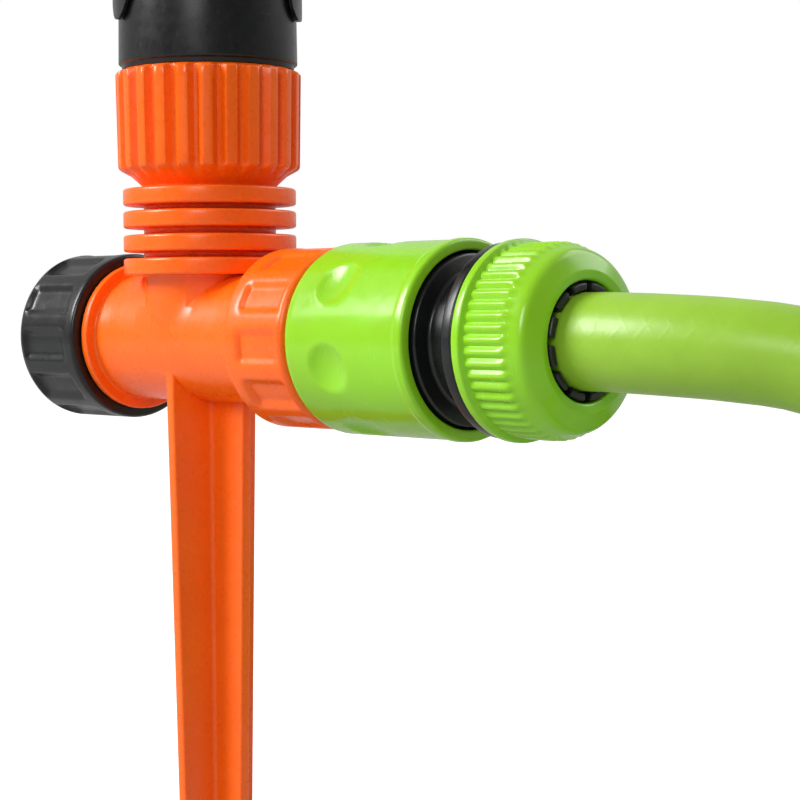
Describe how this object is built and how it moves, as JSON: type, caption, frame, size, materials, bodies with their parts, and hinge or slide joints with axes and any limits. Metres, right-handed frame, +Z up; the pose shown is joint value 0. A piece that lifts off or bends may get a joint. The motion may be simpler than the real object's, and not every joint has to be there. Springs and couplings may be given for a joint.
{
  "type": "garden sprinkler",
  "caption": "Garden sprinkler on a tee ground spike: ribbed collar, impulse head, screw cap, quick hose connector and a coiled leader hose.",
  "frame": {"origin": "on the spike's axis at ground level", "axes": "+X along the tee's tube towards the water inlet, +Z up the spike's axis"},
  "size_m": [0.3141, 0.2445, 0.3661],
  "materials": {
    "spike_body": "glossy moulded polypropylene",
    "inlet_nut": "glossy moulded polypropylene",
    "inlet_washer": "matt",
    "nipple_o_ring": "matt",
    "connector_body": "satin moulded plastic",
    "connector_seal": "matt",
    "sleeve_spring": "bright spring steel",
    "hose": "smooth flexible PVC",
    "hose_coil": "smooth flexible PVC",
    "hose_tail": "smooth flexible PVC",
    "far_connector_body": "satin moulded plastic",
    "far_connector_seal": "matt",
    "far_sleeve_spring": "bright spring steel",
    "bearing_sleeve": "satin moulded plastic",
    "cap_washer": "matt",
    "end_cap": "satin moulded plastic",
    "connector_sleeve": "glossy moulded plastic",
    "claw_top": "matt acetal",
    "claw_bottom": "matt acetal",
    "collet": "satin moulded plastic",
    "hose_nut": "glossy moulded plastic",
    "far_connector_sleeve": "glossy moulded plastic",
    "far_claw_top": "matt acetal",
    "far_claw_bottom": "matt acetal",
    "far_collet": "satin moulded plastic",
    "far_hose_nut": "glossy moulded plastic",
    "arc_collar_lower": "satin moulded plastic",
    "arc_collar_upper": "satin moulded plastic",
    "bearing_tube": "matt acetal",
    "bearing_washer": "matt",
    "bearing_seal": "matt acetal",
    "bearing_spring": "bright spring steel",
    "rotor_body": "satin moulded plastic",
    "main_nozzle": "glossy moulded plastic",
    "rear_plug": "satin moulded plastic",
    "flap_pin": "bright spring steel",
    "arm_pin": "bright spring steel",
    "arm_spring": "bright spring steel",
    "arm_cap": "satin moulded plastic",
    "trip_pin": "bright spring steel",
    "swing_arm": "glossy moulded polypropylene",
    "trip_lever": "satin moulded plastic",
    "spray_flap": "glossy moulded polypropylene"
  },
  "bodies": {
    "stake": {"spike_body": "spike_body", "inlet_nut": "inlet_nut", "inlet_washer": "inlet_washer", "nipple_o_ring": "nipple_o_ring", "connector_body": "connector_body", "connector_seal": "connector_seal", "sleeve_spring": "sleeve_spring", "hose": "hose", "hose_coil": "hose_coil", "hose_tail": "hose_tail", "far_connector_body": "far_connector_body", "far_connector_seal": "far_connector_seal", "far_sleeve_spring": "far_sleeve_spring", "bearing_sleeve": "bearing_sleeve"},
    "cap_carrier": {"cap_washer": "cap_washer"},
    "cap": {"end_cap": "end_cap"},
    "sleeve": {"connector_sleeve": "connector_sleeve"},
    "claw_up": {"claw_top": "claw_top"},
    "claw_down": {"claw_bottom": "claw_bottom"},
    "nut_carrier": {"collet": "collet"},
    "nut": {"hose_nut": "hose_nut"},
    "far_sleeve": {"far_connector_sleeve": "far_connector_sleeve"},
    "far_claw_up": {"far_claw_top": "far_claw_top"},
    "far_claw_down": {"far_claw_bottom": "far_claw_bottom"},
    "far_nut_carrier": {"far_collet": "far_collet"},
    "far_nut": {"far_hose_nut": "far_hose_nut"},
    "lower_stop": {"arc_collar_lower": "arc_collar_lower"},
    "upper_stop": {"arc_collar_upper": "arc_collar_upper"},
    "head": {"bearing_tube": "bearing_tube", "bearing_washer": "bearing_washer", "bearing_seal": "bearing_seal", "bearing_spring": "bearing_spring", "rotor_body": "rotor_body", "main_nozzle": "main_nozzle", "rear_plug": "rear_plug", "flap_pin": "flap_pin", "arm_pin": "arm_pin", "arm_spring": "arm_spring", "arm_cap": "arm_cap", "trip_pin": "trip_pin"},
    "arm": {"swing_arm": "swing_arm"},
    "trip": {"trip_lever": "trip_lever"},
    "flap": {"spray_flap": "spray_flap"}
  },
  "joints": [
    {"name": "cap_turn", "type": "hinge", "parent": "cap_carrier", "child": "cap", "pos_m": [-0.033, 0, 0.105], "axis": [-1, 0, 0], "range_deg": [0, 1780]},
    {"name": "cap_travel", "type": "slide", "parent": "stake", "child": "cap_carrier", "axis": [-1, 0, 0], "range_m": [0, 0.00896]},
    {"name": "sleeve_slide", "type": "slide", "parent": "stake", "child": "sleeve", "axis": [1, 0, 0], "range_m": [0, 0.005], "stiffness_N_per_m": 400, "springref_m": -0.006, "deforming": ["sleeve_spring"]},
    {"name": "claw_up_slide", "type": "slide", "parent": "stake", "child": "claw_up", "axis": [0, 0, 1], "range_m": [0, 0.0012]},
    {"name": "claw_down_slide", "type": "slide", "parent": "stake", "child": "claw_down", "axis": [0, 0, -1], "range_m": [0, 0.0012]},
    {"name": "nut_turn", "type": "hinge", "parent": "nut_carrier", "child": "nut", "pos_m": [0.0902, 0, 0.105], "axis": [1, 0, 0], "range_deg": [0, 590]},
    {"name": "nut_travel", "type": "slide", "parent": "stake", "child": "nut_carrier", "axis": [1, 0, 0], "range_m": [0, 0.00297]},
    {"name": "far_sleeve_slide", "type": "slide", "parent": "stake", "child": "far_sleeve", "axis": [1, 0, 0], "range_m": [0, 0.005], "stiffness_N_per_m": 400, "springref_m": -0.006, "deforming": ["far_sleeve_spring"]},
    {"name": "far_claw_up_slide", "type": "slide", "parent": "stake", "child": "far_claw_up", "axis": [0, 0, 1], "range_m": [0, 0.0012]},
    {"name": "far_claw_down_slide", "type": "slide", "parent": "stake", "child": "far_claw_down", "axis": [0, 0, -1], "range_m": [0, 0.0012]},
    {"name": "far_nut_turn", "type": "hinge", "parent": "far_nut_carrier", "child": "far_nut", "pos_m": [0.0983, 0.1805, 0.0183], "axis": [1, 0, 0], "range_deg": [0, 590]},
    {"name": "far_nut_travel", "type": "slide", "parent": "stake", "child": "far_nut_carrier", "axis": [1, 0, 0], "range_m": [0, 0.00297]},
    {"name": "head_turn", "type": "hinge", "parent": "stake", "child": "head", "pos_m": [0, 0, 0.184], "axis": [0, 0, 1], "range_deg": [-70, 45]},
    {"name": "lower_stop_turn", "type": "hinge", "parent": "stake", "child": "lower_stop", "pos_m": [0, 0, 0.1765], "axis": [0, 0, 1], "range_deg": [-46, 90]},
    {"name": "upper_stop_turn", "type": "hinge", "parent": "stake", "child": "upper_stop", "pos_m": [0, 0, 0.1808], "axis": [0, 0, 1], "range_deg": [-60, 50]},
    {"name": "arm_swing", "type": "hinge", "parent": "head", "child": "arm", "pos_m": [0, 0, 0.229], "axis": [0, 0, 1], "range_deg": [-80, 0], "stiffness_Nm_per_rad": 0.01, "springref_deg": 17.19},
    {"name": "trip_tilt", "type": "hinge", "parent": "head", "child": "trip", "pos_m": [0.01876, -0.00875, 0.1896], "axis": [0.9063, -0.4226, 0], "range_deg": [-12, 12]},
    {"name": "flap_tilt", "type": "hinge", "parent": "head", "child": "flap", "pos_m": [0.00168, 0.01921, 0.22045], "axis": [-0.9962, 0.0872, 0], "range_deg": [-4, 20]}
  ],
  "couplings": [
    {"joint": "cap_turn", "follows": "cap_travel", "rad_per_m": 3463.7},
    {"joint": "claw_up_slide", "follows": "sleeve_slide", "ratio": 0.24},
    {"joint": "claw_down_slide", "follows": "sleeve_slide", "ratio": 0.24},
    {"joint": "nut_turn", "follows": "nut_travel", "rad_per_m": 3463.7},
    {"joint": "far_claw_up_slide", "follows": "far_sleeve_slide", "ratio": 0.24},
    {"joint": "far_claw_down_slide", "follows": "far_sleeve_slide", "ratio": 0.24},
    {"joint": "far_nut_turn", "follows": "far_nut_travel", "rad_per_m": 3463.7}
  ]
}
